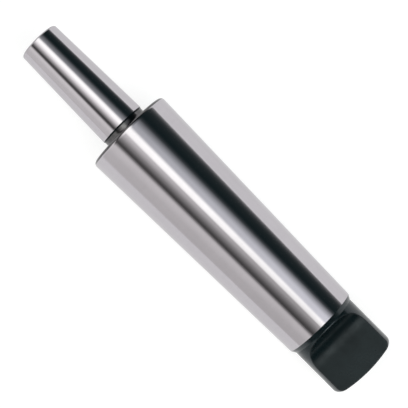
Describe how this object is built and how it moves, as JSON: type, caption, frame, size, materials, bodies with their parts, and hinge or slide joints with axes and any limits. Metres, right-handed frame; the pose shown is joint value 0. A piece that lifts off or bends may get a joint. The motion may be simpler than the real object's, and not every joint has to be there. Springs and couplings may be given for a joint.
{
  "type": "drill chuck arbor",
  "caption": "Drill chuck arbor with a long self-holding taper shank, a flat tang and a short taper spigot for the chuck.",
  "frame": {"origin": "On the axis, at the gauge plane of the shank taper, 6.5 mm behind the shoulder face.", "axes": "+X along the axis from the tang towards the spigot, +Z square to the flats of the tang, +Y across the tang's width."},
  "size_m": [0.2169, 0.0446, 0.0446],
  "materials": {
    "steel": "tapers ground bright, tang, groove and shoulder face blackened"
  },
  "bodies": {
    "root": {"arbor": "steel"}
  },
  "joints": []
}
